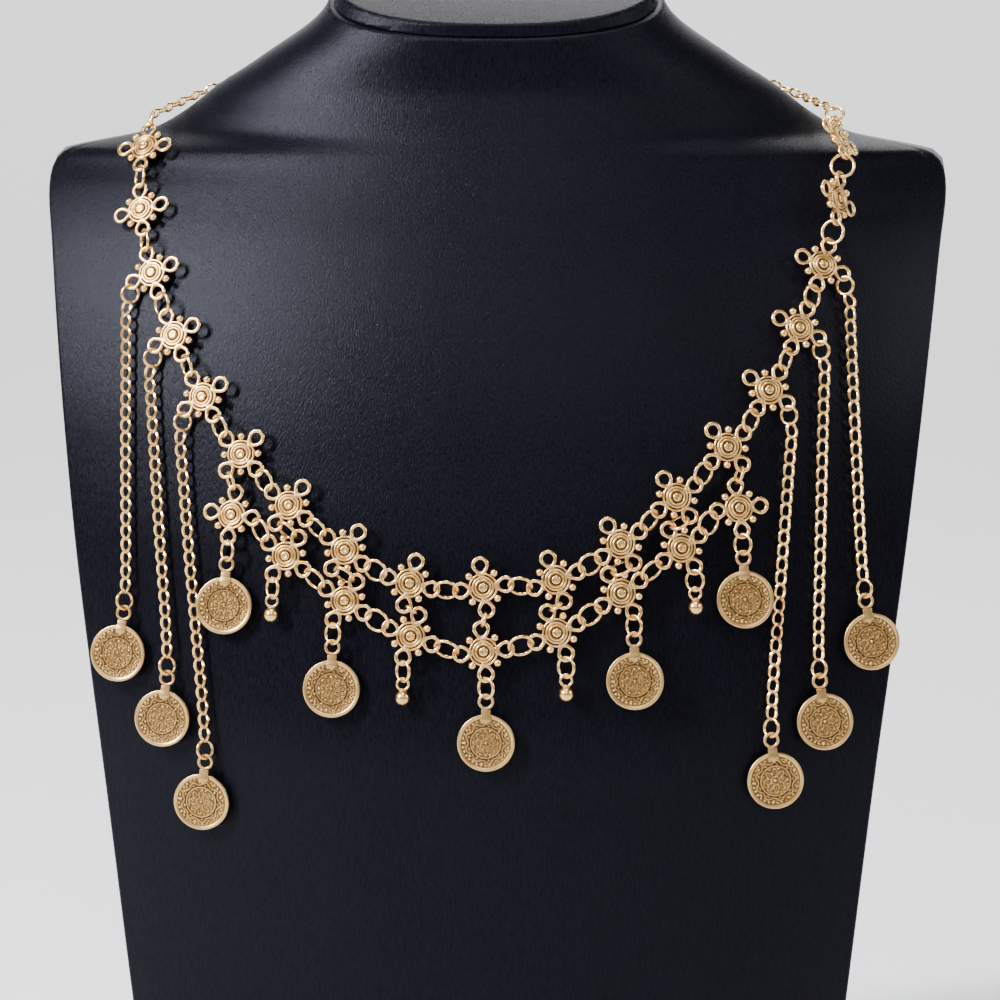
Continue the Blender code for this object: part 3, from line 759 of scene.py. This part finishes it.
def makeRows():
    upper = walkRoute(chain["upperRoute"], chain["upperCount"], chain["upperLink"], upperSettings)
    lower = walkRoute(chain["lowerRoute"], chain["lowerCount"], chain["lowerLink"], lowerSettings)
    master = makeRosetteMaster()
    pivots = []
    for row, places in (("upper", upper), ("lower", lower)):
        for index, place in enumerate(places):
            parts = [copyTo(master, place)]
            sway = chain["ringSway"] * math.sin(index * chain["swayStep"])
            if index + 1 < len(places):
                beside = row == "upper" and index >= chain["firstRolled"] - 1
                tilt = chain["sideRingTilt"] if beside else chain["ringTilt"] + sway
                parts.append(linkRing((place, 1, 0), (places[index + 1], -1, 0), tilt))
            tied = index - chain["firstTied"]
            if row == "upper" and 0 <= tied < len(lower):
                gap = (loopCentre(lower[tied], 0, 1) - loopCentre(place, 0, -1)).length
                tilt = chain["shortTieTilt"] if gap < chain["shortTie"] else chain["tieTilt"]
                parts.append(linkRing((place, 0, -1), (lower[tied], 0, 1), tilt))
            if row == "lower":
                own = loopCentre(place, 0, -1)
                length = 2 * chain["dropRing"] + hung["held"] + chain["free"] + hung["coinBelowLoop"]
                line, faced = coinSeat(own, length)
                centre = own + line * (hung["held"] + chain["dropRing"])
                pivot = centre + line * chain["dropRing"]
                start = own + line * chain["free"]
                ringPlace = ringFrame((start + pivot) / 2, line, faced, chain["ringTilt"] + sway / 2)
                parts.append(ringAt(ringPlace, (pivot - start).length / 2, chain["ringWire"]))
                pivots.append((pivot, line, faced))
            name = f"{row}Rosette{index:02d}"
            hand(joinUp(parts, name), gold, "root", [f"rosette_{row}_{index:02d}"])
    discard(master)
    return upper, pivots


upperPlaces, dropPivots = makeRows()
print("rosettes made")


# Coins and balls, modelled once about the wire that they swing on

coinShape = {
    "rings": [  # radius and height, from the back round to the face, in millimetres
        (6.9, -0.28), (7.15, -0.48), (7.75, -0.48), (8.0, -0.26), (8.0, 0.30), (7.8, 0.50), (7.3, 0.50),
        (7.05, 0.26), (3.5, 0.26)],
    "sides": 72, "bailRadius": 0.00188, "bailWire": 0.00092, "bailRise": 0.00014,
    "neck": (0.0026, 0.0014, 0.0009), "neckPlace": (0, 0.0087, 0.0002), "tongueStart": 0.0085,
    "tongue": [  # down, out and wider: it widens at the coin's edge, then runs to a point over the face
        (-0.0006, 0.00012, 1.25), (-0.0008, 0.0002, 0.96), (-0.0007, 0.0, 0.6), (-0.0007, -0.0001, 0.2)],
    "tongueThins": 0.88, "tongueLevel": 0.00045, "tongueBevel": 0.00012,
    "plainSpot": (0.78, 0.0),   # flat coordinates just off the relief
    "face": 0.00026, "thread": 0.00048, "bead": (0.00033, 0.00033, 0.00028),
    "leaf": (0.00055, 0.00034, 0.00026), "seed": (0.0005, 0.0003, 0.00026),
    "heart": (0.0006, 0.0006, 0.0003),
}
ballShape = {"radius": 0.0021, "loopRadius": 0.0016, "loopWire": 0.0008, "belowLoop": 0.0039,
             "collar": (0.0009, 0.0005), "collarGap": 0.0002, "darkTop": 0.0022}


def coinThread(radius, swing, waves):  # a raised line round the coin's face, straight or wavy
    item = wireRing(radius / 1000, coinShape["thread"], 108, 6)
    for vertex in item.data.vertices:
        grow = 1 + swing / radius * math.cos(math.atan2(vertex.co.y, vertex.co.x) * waves)
        vertex.co.xy *= grow
        vertex.co.z += coinShape["face"]
    return item


def coinDots(size, radius, swing, count, phase=0.0):  # raised dots round the coin's face
    bpy.ops.mesh.primitive_uv_sphere_add(segments=10, ring_count=6, radius=1)
    dot = takeActive("dot")
    dot.scale = size
    settle(dot)
    made = []
    for index in range(count):
        turn = Matrix.Rotation(2 * math.pi * (index + phase) / count, 4, "Z")
        reach = (radius + swing * (-1) ** index) / 1000
        made.append(copyTo(dot, turn @ Matrix.Translation((reach, 0, coinShape["face"]))))
    discard(dot)
    return made


def makeCoinRelief():
    vine, waves = coinRelief["vine"], coinRelief["vineWaves"]
    parts = [coinThread(coinRelief["line"], 0, 0), coinThread(vine, coinRelief["vineSwing"], waves),
             coinThread(coinRelief["flower"], coinRelief["petalSwing"], coinRelief["petals"]),
             coinThread(coinRelief["inner"], -coinRelief["innerSwing"], coinRelief["petals"])]
    parts += coinDots(coinShape["bead"], coinRelief["beadRing"], 0, coinRelief["beads"])
    parts += coinDots(coinShape["leaf"], vine, -coinRelief["vineSwing"], waves * 2)
    parts += coinDots(coinShape["seed"], coinRelief["seed"], 0, coinRelief["petals"], 0.5)
    parts += coinDots(coinShape["heart"], 0, 0, 1)
    relief = joinUp(parts, "relief")
    markRecess(relief)
    return relief


def makeCoinMaster():
    disc = turnedForm("coin", [(radius / 1000, height / 1000) for radius, height in coinShape["rings"]],
                      coinShape["sides"])
    markRecess(disc)
    bail = wireRing(coinShape["bailRadius"], coinShape["bailWire"], 24, 10)
    markRecess(bail)
    bail.location.y = hung["coinBelowLoop"] + coinShape["bailRise"]
    settle(bail)
    bpy.ops.mesh.primitive_cube_add(size=1)
    neck = takeActive("neck")
    neck.scale = coinShape["neck"]
    neck.location = coinShape["neckPlace"]
    settle(neck)
    selectVertices(neck, lambda point: point.y < coinShape["tongueStart"])

    def drawTongue():
        for down, out, grow in coinShape["tongue"]:
            bpy.ops.mesh.extrude_region_move()
            bpy.ops.transform.translate(value=(0, down, out))
            bpy.ops.transform.resize(value=(grow, 1, coinShape["tongueThins"]),
                                     center_override=(0, 0, coinShape["tongueLevel"]))
        bpy.ops.mesh.select_all(action="SELECT")
        bpy.ops.mesh.bevel(offset=coinShape["tongueBevel"], segments=2, affect="EDGES")
        closeSkin()

    inEdit(drawTongue)
    markRecess(neck, lambda point: recess["tongue"])
    relief = makeCoinRelief()
    for item in (disc, bail, neck, relief):
        markLocal(item)
    for item in (bail, neck):  # the struck pattern stops at the coin's rim
        for corner in item.data.uv_layers["local"].data:
            corner.uv = coinShape["plainSpot"]
    coin = joinUp([disc, bail, neck, relief], "coin")
    coin.data.transform(Matrix.Translation((0, -chain["free"] - hung["coinBelowLoop"], 0)))
    return coin


def makeBallMaster():
    loopHeight = chain["clear"] - ballShape["loopRadius"]
    bpy.ops.mesh.primitive_uv_sphere_add(segments=24, ring_count=16, radius=ballShape["radius"],
                                         location=(0, loopHeight - ballShape["belowLoop"], 0))
    ball = settle(takeActive("ball"))
    loop = wireRing(ballShape["loopRadius"], ballShape["loopWire"], 20, 8)
    loop.location.y = loopHeight
    settle(loop)
    radius, height = ballShape["collar"]
    collar = wireRing(radius, height, 16, 8)
    collar.rotation_euler = (math.radians(90), 0, 0)
    collar.location.y = loopHeight - ballShape["loopRadius"] - ballShape["collarGap"]
    settle(collar)
    markRecess(loop)
    # painted shade on the ball's top under its loop; the collar is just darker
    markRecess(ball, lambda point: recess["ballTop"] if point.y > loopHeight - ballShape["darkTop"] else 0.0)
    markRecess(collar, lambda point: recess["collar"])
    return joinUp([ball, loop, collar], "ball")


def dropFrame(pivot, line, faced):
    upward = -line
    return frameOf(upward.cross(faced), upward, faced, pivot)


coinMaster = makeCoinMaster()
ballMaster = makeBallMaster()
dropKinds = (("coin_short", "shortCoin", coinMaster, struckGold),
             ("ball_drop", "ballDrop", ballMaster, gold))
for order, pivot in enumerate(dropPivots):
    kind, name, master, finish = dropKinds[order % 2]
    node = f"{kind}_{order // 2}"
    hand(copyTo(master, dropFrame(*pivot), f"{name}{order // 2}"), finish, node, [node])
print("drops made")


# Strands of curb links, with a ring at each end and a coin

strandShape = {
    "ends": [  # name, carrying rosette, and where the lower ring lies
        ("left_1", 2, -0.1007, 0.1759), ("left_2", 3, -0.0883, 0.1587), ("left_3", 4, -0.0774, 0.1361),
        ("right_3", 14, 0.0788, 0.1434), ("right_2", 15, 0.0918, 0.1590), ("right_1", 16, 0.1041, 0.1804)],
    "pitch": 0.00378, "width": 0.0037, "length": 0.0051, "wire": 0.00094, "twist": 30, "lift": 0.0018,
    "endLift": 0.0028, "endCurve": 6, "steps": 26, "roll": 6, "ringTilt": 50,
}


def makeLink(width, length, wire, twist):  # an oval of round wire, twisted end to end
    link = wireRing(width / 2 - wire / 2, wire, 16, 6)
    for vertex in link.data.vertices:
        vertex.co.y += vertex.co.y / vertex.co.xy.length * (length - width) / 2
        vertex.co.rotate(Matrix.Rotation(math.radians(twist * vertex.co.y / (length / 2)), 3, "Y"))
    # painted shade at the link ends, where links cross
    markRecess(link, lambda point: recess["linkEnd"] if abs(point.y) > length / 2 - wire * 0.4 else 0.0)
    return link


def alongPath(points, pitch):  # evenly spaced places on a path of points and outward directions
    lengths = [(second[0] - first[0]).length for first, second in zip(points, points[1:])]
    total = sum(lengths)
    count = max(1, round(total / pitch))
    places = []
    for step in range(count):
        distance = total * (step + 0.5) / count
        index = 0
        while index < len(lengths) - 1 and distance > lengths[index]:
            distance -= lengths[index]
            index += 1
        t = distance / lengths[index]
        (first, out), (second, after) = points[index], points[index + 1]
        places.append((first.lerp(second, t), second - first, out.lerp(after, t)))
    return places


def linkFrame(place, along, outward, roll):
    upward = along.normalized()
    out = Matrix.Rotation(math.radians(roll), 3, upward) @ flattened(outward, upward)
    return frameOf(upward.cross(out), upward, out, place)


def makeStrands():
    master = makeLink(strandShape["width"], strandShape["length"], strandShape["wire"], strandShape["twist"])
    for label, carrier, across, height in strandShape["ends"]:
        loop = loopCentre(upperPlaces[carrier], 0, -1)
        line, topFaced = dropLine(loop, 2 * chain["dropRing"] + chain["free"], strandShape["endLift"])
        topCentre = loop + line * (chain["free"] + chain["dropRing"])
        top = topCentre + line * chain["dropRing"]
        bottomHeight = height + chain["dropRing"]
        points = [(top, topFaced)]
        for step in range(1, strandShape["steps"] + 1):
            t = step / strandShape["steps"]
            nearEnd = abs(2 * t - 1) ** strandShape["endCurve"]
            lift = strandShape["lift"] + (strandShape["endLift"] - strandShape["lift"]) * nearEnd
            points.append(frontSeat(top.x + (across - top.x) * t, top.z + (bottomHeight - top.z) * t, lift))
        bottom = points[-1][0]
        endLine = (bottom - points[-2][0]).normalized()
        endCentre = bottom + endLine * chain["dropRing"]
        pivot = endCentre + endLine * chain["dropRing"]
        coinLine, coinFaced = coinSeat(pivot, chain["free"] + hung["coinBelowLoop"])
        tilt = math.copysign(strandShape["ringTilt"], across)
        rings = (ringFrame(topCentre, line, topFaced, tilt), ringFrame(endCentre, endLine, coinFaced, tilt))
        parts = [ringAt(place, chain["dropRing"], chain["ringWire"]) for place in rings]
        for place, along, outward in alongPath(points, strandShape["pitch"]):
            parts.append(copyTo(master, linkFrame(place, along, outward, strandShape["roll"])))
        camel = label.replace("_", "")
        hand(joinUp(parts, f"{camel}Strand"), gold, "root", [f"strand_{label}"])
        node = f"coin_{label}"
        place = dropFrame(pivot, coinLine, coinFaced)
        hand(copyTo(coinMaster, place, f"{camel}Coin"), struckGold, node, [node])
    discard(master)


makeStrands()
discard(coinMaster, ballMaster)
print("strands made")


# The cable chain over the shoulders and behind the neck, and its clasp

backShape = {
    "route": [(12, 0.3135), (30, 0.3190), (48, 0.3240), (68, 0.3275), (80, 0.3290)],   # angle, height
    "lift": 0.0022, "pitch": 0.0033, "width": 0.0030, "length": 0.0044, "wire": 0.00072, "linkRoll": 45,
    "ringRadius": 0.0022, "ringTilt": 52, "overlap": 0.0008,    # of end links and their rings
    "claspRadius": 0.0036, "claspWire": 0.0014, "claspHeight": 0.3295, "claspLift": 0.0034,
    "collarAngles": (58, 122), "collarGap": 0.00006, "collarWire": 0.00045,     # of the sliding part
    "leverRadius": 0.00045, "leverLength": 0.0016, "leverOut": 0.0010, "leverBevel": 0.00015,
}


def makeBackChain(name, side, place):
    master = makeLink(backShape["width"], backShape["length"], backShape["wire"], 0)
    loop = loopCentre(place, side, 0)
    line = place.col[0].to_3d() * side
    sideways, backwards = Vector((side, 0, 0)), Vector((0, 1, 0))
    clasp = backSeat(90, backShape["claspHeight"], backShape["claspLift"])[0]
    reach = backShape["ringRadius"] + backShape["claspRadius"] - chain["clear"] - backShape["claspWire"] / 4
    endCentre = clasp + sideways * reach
    topCentre = loop + line * (chain["free"] + chain["dropRing"])
    seats = [backSeat(angle if side > 0 else 180 - angle, height, backShape["lift"])
             for angle, height in backShape["route"]]
    start = topCentre + line * (chain["dropRing"] - backShape["overlap"])
    end = endCentre + sideways * (backShape["ringRadius"] - backShape["overlap"])
    points = [(start, seats[0][1])] + seats + [(end, backwards)]
    tilt = backShape["ringTilt"]
    topPlace = ringFrame(topCentre, line * side, place.col[2].to_3d(), -side * tilt)
    endPlace = ringFrame(endCentre, sideways, backwards, tilt)
    parts = [ringAt(topPlace, chain["dropRing"], chain["ringWire"]),
             ringAt(endPlace, backShape["ringRadius"], chain["ringWire"])]
    for step, (spot, along, out) in enumerate(alongPath(points, backShape["pitch"])):
        roll = backShape["linkRoll"] if step % 2 else -backShape["linkRoll"]
        parts.append(copyTo(master, linkFrame(spot, along, out, roll)))
    discard(master)
    camel = name.split("_")[-1]
    hand(joinUp(parts, f"{camel}BackChain"), gold, "root", [name])


def makeClasp():
    centre = backSeat(90, backShape["claspHeight"], backShape["claspLift"])[0]
    radius, wire = backShape["claspRadius"], backShape["claspWire"]
    ring = wireRing(radius, wire, 40, 12)
    markRecess(ring)
    parts = [ring]
    for angle in backShape["collarAngles"]:
        turn = math.radians(angle)
        collar = wireRing(wire / 2 + backShape["collarGap"], backShape["collarWire"], 20, 8)
        collar.rotation_euler = (math.radians(90), 0, turn)
        collar.location = (radius * math.cos(turn), radius * math.sin(turn), 0)
        settle(collar)
        markRecess(collar, lambda point: recess["collar"])
        parts.append(collar)
    bpy.ops.mesh.primitive_cylinder_add(vertices=16, radius=backShape["leverRadius"],
                                        depth=backShape["leverLength"],
                                        location=(0, radius + backShape["leverOut"], 0),
                                        rotation=(math.radians(90), 0, 0))
    lever = settle(takeActive("lever"))

    def roundOff():
        bpy.ops.mesh.select_all(action="SELECT")
        bpy.ops.mesh.bevel(offset=backShape["leverBevel"], segments=2, affect="EDGES")

    inEdit(roundOff)
    markRecess(lever)
    parts.append(lever)
    clasp = joinUp(parts, "ringClasp")
    clasp.data.transform(ringFrame(centre, Vector((1, 0, 0)), Vector((0, 1, 0)), 0))
    hand(clasp, gold, "root", ["clasp"])


makeBackChain("chain_back_left", -1, upperPlaces[0])
makeBackChain("chain_back_right", 1, upperPlaces[-1])
makeClasp()
print("back chain made")


# Floor, lights and camera

studio = {
    "floor": (0.74, 0.74, 0.75), "mottle": 0.97, "mottleScale": 3.0, "floorRoughness": 0.75,
    "reach": 4.2, "wall": 3.0, "sweep": 1.4,
    "air": (0.80, 0.82, 0.86), "airStrength": 0.2,
    "lights": [  # place, aim, width, height, power, colour; the last one is for the wall
        ((-1.17, -0.76, 1.15), (-0.06, -0.02, 0.24), 0.16, 0.8, 100, (0.93, 0.94, 1.0)),
        ((0.10, -1.40, 1.35), (0.0, -0.04, 0.20), 0.7, 0.7, 9, (1.0, 0.97, 0.93)),
        ((1.20, -0.30, 0.80), (0.05, 0.0, 0.24), 0.5, 0.5, 8, (0.92, 0.94, 1.0)),
        ((0.10, 1.10, 1.30), (0.0, 0.0, 0.25), 0.8, 0.8, 10, (1.0, 1.0, 1.0)),
        ((0.0, -0.25, 1.75), (0.0, -0.02, 0.30), 0.5, 0.5, 16, (0.95, 0.95, 1.0)),
        ((0.0, 2.20, 2.70), (0.0, 3.60, 0.40), 2.6, 1.2, 125, (1.0, 1.0, 1.0))],
}
camera = {"target": (0.0045, -0.050, 0.2079), "azimuth": 2.55, "elevation": 7.87, "distance": 1.3,
          "width": 0.2756, "sensor": 36}


def makeFloor():  # round, and swept up into a wall on all sides
    bpy.ops.mesh.primitive_circle_add(vertices=96, radius=studio["reach"], fill_type="NGON",
                                      location=(0, 0, studio["wall"]))
    floor = settle(takeActive("floor"))

    def sinkMiddle():
        bpy.ops.mesh.select_all(action="SELECT")
        bpy.ops.mesh.extrude_region_move()
        bpy.ops.transform.translate(value=(0, 0, -studio["wall"]))
        bpy.ops.mesh.bevel(offset=studio["sweep"], segments=16, affect="EDGES")

    inEdit(sinkMiddle)
    selectVertices(floor, lambda point: point.z > studio["wall"] - 0.01)
    inEdit(lambda: bpy.ops.mesh.delete(type="ONLY_FACE"))    # the room stays open at the top
    material, shade, shader = newMaterial("paleFloor")
    place = shade.node("ShaderNodeTexCoord", {}, {}, "Object")
    mottle = noiseOn(shade, place, studio["mottleScale"], 2.0)
    colour = mottle.blend(tinted(studio["floor"], studio["mottle"]), tinted(studio["floor"]))
    plug(shade, shader, Base_Color=colour, Roughness=studio["floorRoughness"])
    floor.data.materials.append(material)
    bpy.ops.object.shade_smooth()


def aim(item, target):
    item.rotation_mode = "QUATERNION"
    item.rotation_quaternion = (Vector(target) - item.location).to_track_quat("-Z", "Y")


def makeStudio():
    makeFloor()
    world = bpy.context.scene.world or bpy.data.worlds.new("air")
    bpy.context.scene.world = world
    world.use_nodes = True
    background = world.node_tree.nodes["Background"]
    background.inputs["Color"].default_value = tinted(studio["air"])
    background.inputs["Strength"].default_value = studio["airStrength"]
    for place, target, width, height, power, colour in studio["lights"]:
        bpy.ops.object.light_add(type="AREA", location=place)
        light = bpy.context.object
        light.data.shape = "RECTANGLE"
        light.data.size = width
        light.data.size_y = height
        light.data.energy = power
        light.data.color = colour
        aim(light, target)
    azimuth, elevation = math.radians(camera["azimuth"]), math.radians(camera["elevation"])
    back = Vector((math.sin(azimuth) * math.cos(elevation), -math.cos(azimuth) * math.cos(elevation),
                   math.sin(elevation)))
    bpy.ops.object.camera_add(location=Vector(camera["target"]) + back * camera["distance"])
    eye = bpy.context.object
    eye.data.sensor_width = camera["sensor"]
    eye.data.lens = camera["sensor"] * camera["distance"] / camera["width"]
    eye.data.clip_start = 0.05
    aim(eye, camera["target"])
    bpy.context.scene.camera = eye


makeStudio()
print("studio made")
